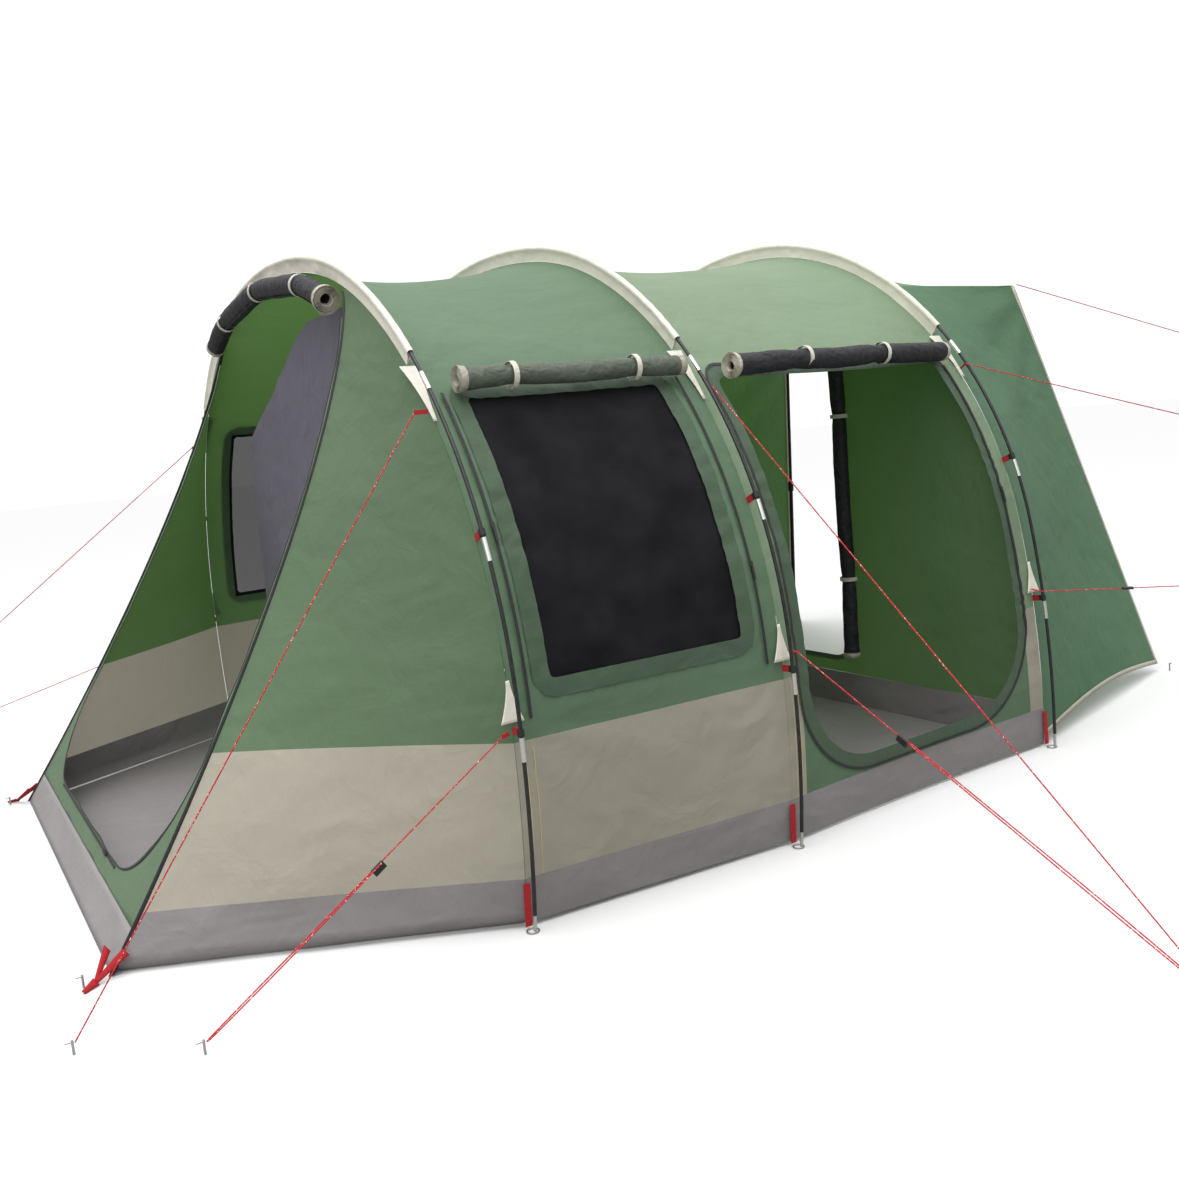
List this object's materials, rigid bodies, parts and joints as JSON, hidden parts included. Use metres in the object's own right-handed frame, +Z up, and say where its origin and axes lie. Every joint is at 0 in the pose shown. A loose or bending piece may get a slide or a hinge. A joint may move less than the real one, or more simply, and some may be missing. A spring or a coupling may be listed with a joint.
{
  "type": "tent on poles",
  "caption": "Tunnel tent on hoop poles with a front porch, mesh windows, rolled doors, a rear canopy on upright poles, guylines and ground pegs.",
  "frame": {"origin": "point on the ground under the middle of the middle hoop, on the underside of the groundsheet", "axes": "+X from the porch towards the rear canopy, +Y towards the far side, +Z up"},
  "size_m": [5.6165, 4.6835, 1.9936],
  "materials": {
    "black_pole": "gloss",
    "silver": "satin",
    "steel": "satin",
    "alu_pole": "satin",
    "black_plastic": "matte",
    "red_webbing": "matte",
    "red_cord": "matte",
    "sleeve_beige": "matte",
    "beige_cloth": "matte",
    "green_cloth": "matte",
    "light_green_cloth": "matte",
    "dark_green_cloth": "matte",
    "grey_cloth": "matte",
    "grey_sheet": "matte",
    "mesh": "matte",
    "roll_black": "matte",
    "roll_green": "matte",
    "zip_black": "matte",
    "inner_grey": "matte"
  },
  "bodies": {
    "tent": {"bay_beige_band": "beige_cloth", "bay_mud_skirt": "grey_cloth", "bay_roof_front": "green_cloth", "bay_roof_rear": "light_green_cloth", "canopy_edge_trim": "beige_cloth", "canopy_pole_clamps": "black_plastic", "canopy_pole_feet": "black_plastic", "canopy_pole_lower_far": "alu_pole", "canopy_pole_lower_near": "alu_pole", "canopy_roof": "light_green_cloth", "canopy_wings": "dark_green_cloth", "clip_webbing": "red_webbing", "corner_patches": "beige_cloth", "door_sills": "dark_green_cloth", "foot_ring_pins": "steel", "foot_straps": "red_webbing", "front_door_roll": "roll_black", "front_door_strips": "dark_green_cloth", "front_door_toggles": "black_plastic", "front_door_zip": "zip_black", "ground_pegs": "steel", "groundsheet": "grey_sheet", "guyline_canopy": "red_cord", "guyline_tabs": "black_plastic", "guylines_far": "red_cord", "guylines_lower": "red_cord", "guylines_upper": "red_cord", "hoop_front_pole": "black_pole", "hoop_middle_pole": "black_pole", "hoop_rear_pole": "black_pole", "inner_tent_front": "inner_grey", "inner_tent_side": "inner_grey", "pole_clips": "black_plastic", "pole_ferrules": "silver", "pole_tips": "silver", "porch_beige_band": "beige_cloth", "porch_mud_skirt": "grey_cloth", "porch_walls": "dark_green_cloth", "rear_door_roll": "roll_black", "rear_door_toggles": "black_plastic", "rear_mud_skirt": "grey_cloth", "rear_wall": "dark_green_cloth", "side_door_roll": "roll_black", "side_door_zip": "zip_black", "side_roll_toggles": "black_plastic", "sleeve_front": "sleeve_beige", "sleeve_middle": "sleeve_beige", "sleeve_rear": "sleeve_beige", "window_cover_rolls": "roll_green", "window_mesh": "mesh", "window_zips": "zip_black"},
    "runner_front": {"guyline_runner_front": "black_plastic"},
    "runner_middle": {"guyline_runner_middle": "black_plastic"},
    "runner_rear": {"guyline_runner_rear": "black_plastic"},
    "slider_window_front": {"zip_slider_window_front": "zip_black"},
    "slider_window_rear": {"zip_slider_window_rear": "zip_black"},
    "slider_side_door": {"zip_slider_side_door": "zip_black"},
    "slider_front_door": {"zip_slider_front_door": "zip_black"},
    "canopy_top_near": {"canopy_pole_upper_near": "alu_pole"},
    "canopy_top_far": {"canopy_pole_upper_far": "alu_pole"}
  },
  "joints": [
    {"name": "slide_runner_front", "type": "slide", "parent": "tent", "child": "runner_front", "axis": [-0.8342, -0.0115, -0.5513], "range_m": [-0.3, 0.3]},
    {"name": "slide_runner_middle", "type": "slide", "parent": "tent", "child": "runner_middle", "axis": [0.015, -0.8878, -0.4601], "range_m": [-0.3, 0.4]},
    {"name": "slide_runner_rear", "type": "slide", "parent": "tent", "child": "runner_rear", "axis": [0.83, -0.5558, -0.0469], "range_m": [-0.2, 0.15]},
    {"name": "zip_window_front", "type": "hinge", "parent": "tent", "child": "slider_window_front", "pos_m": [-0.815, -0.17816, 0.52952], "axis": [-1, 0, 0], "range_deg": [-18, 16]},
    {"name": "zip_window_rear", "type": "hinge", "parent": "tent", "child": "slider_window_rear", "pos_m": [-0.055, -0.1429, 0.49686], "axis": [-1, 0, 0], "range_deg": [-9, 18]},
    {"name": "zip_side_door", "type": "hinge", "parent": "tent", "child": "slider_side_door", "pos_m": [1.2, -0.03804, 0.53866], "axis": [-1, 0, 0], "range_deg": [-5, 16]},
    {"name": "zip_front_door", "type": "slide", "parent": "tent", "child": "slider_front_door", "axis": [0, 1, 0], "range_m": [-0.25, 1.05]},
    {"name": "telescope_near", "type": "slide", "parent": "tent", "child": "canopy_top_near", "axis": [0.0662, -0.0164, 0.9977], "range_m": [-0.25, 0]},
    {"name": "telescope_far", "type": "slide", "parent": "tent", "child": "canopy_top_far", "axis": [0.0662, 0.0164, 0.9977], "range_m": [-0.25, 0]}
  ]
}
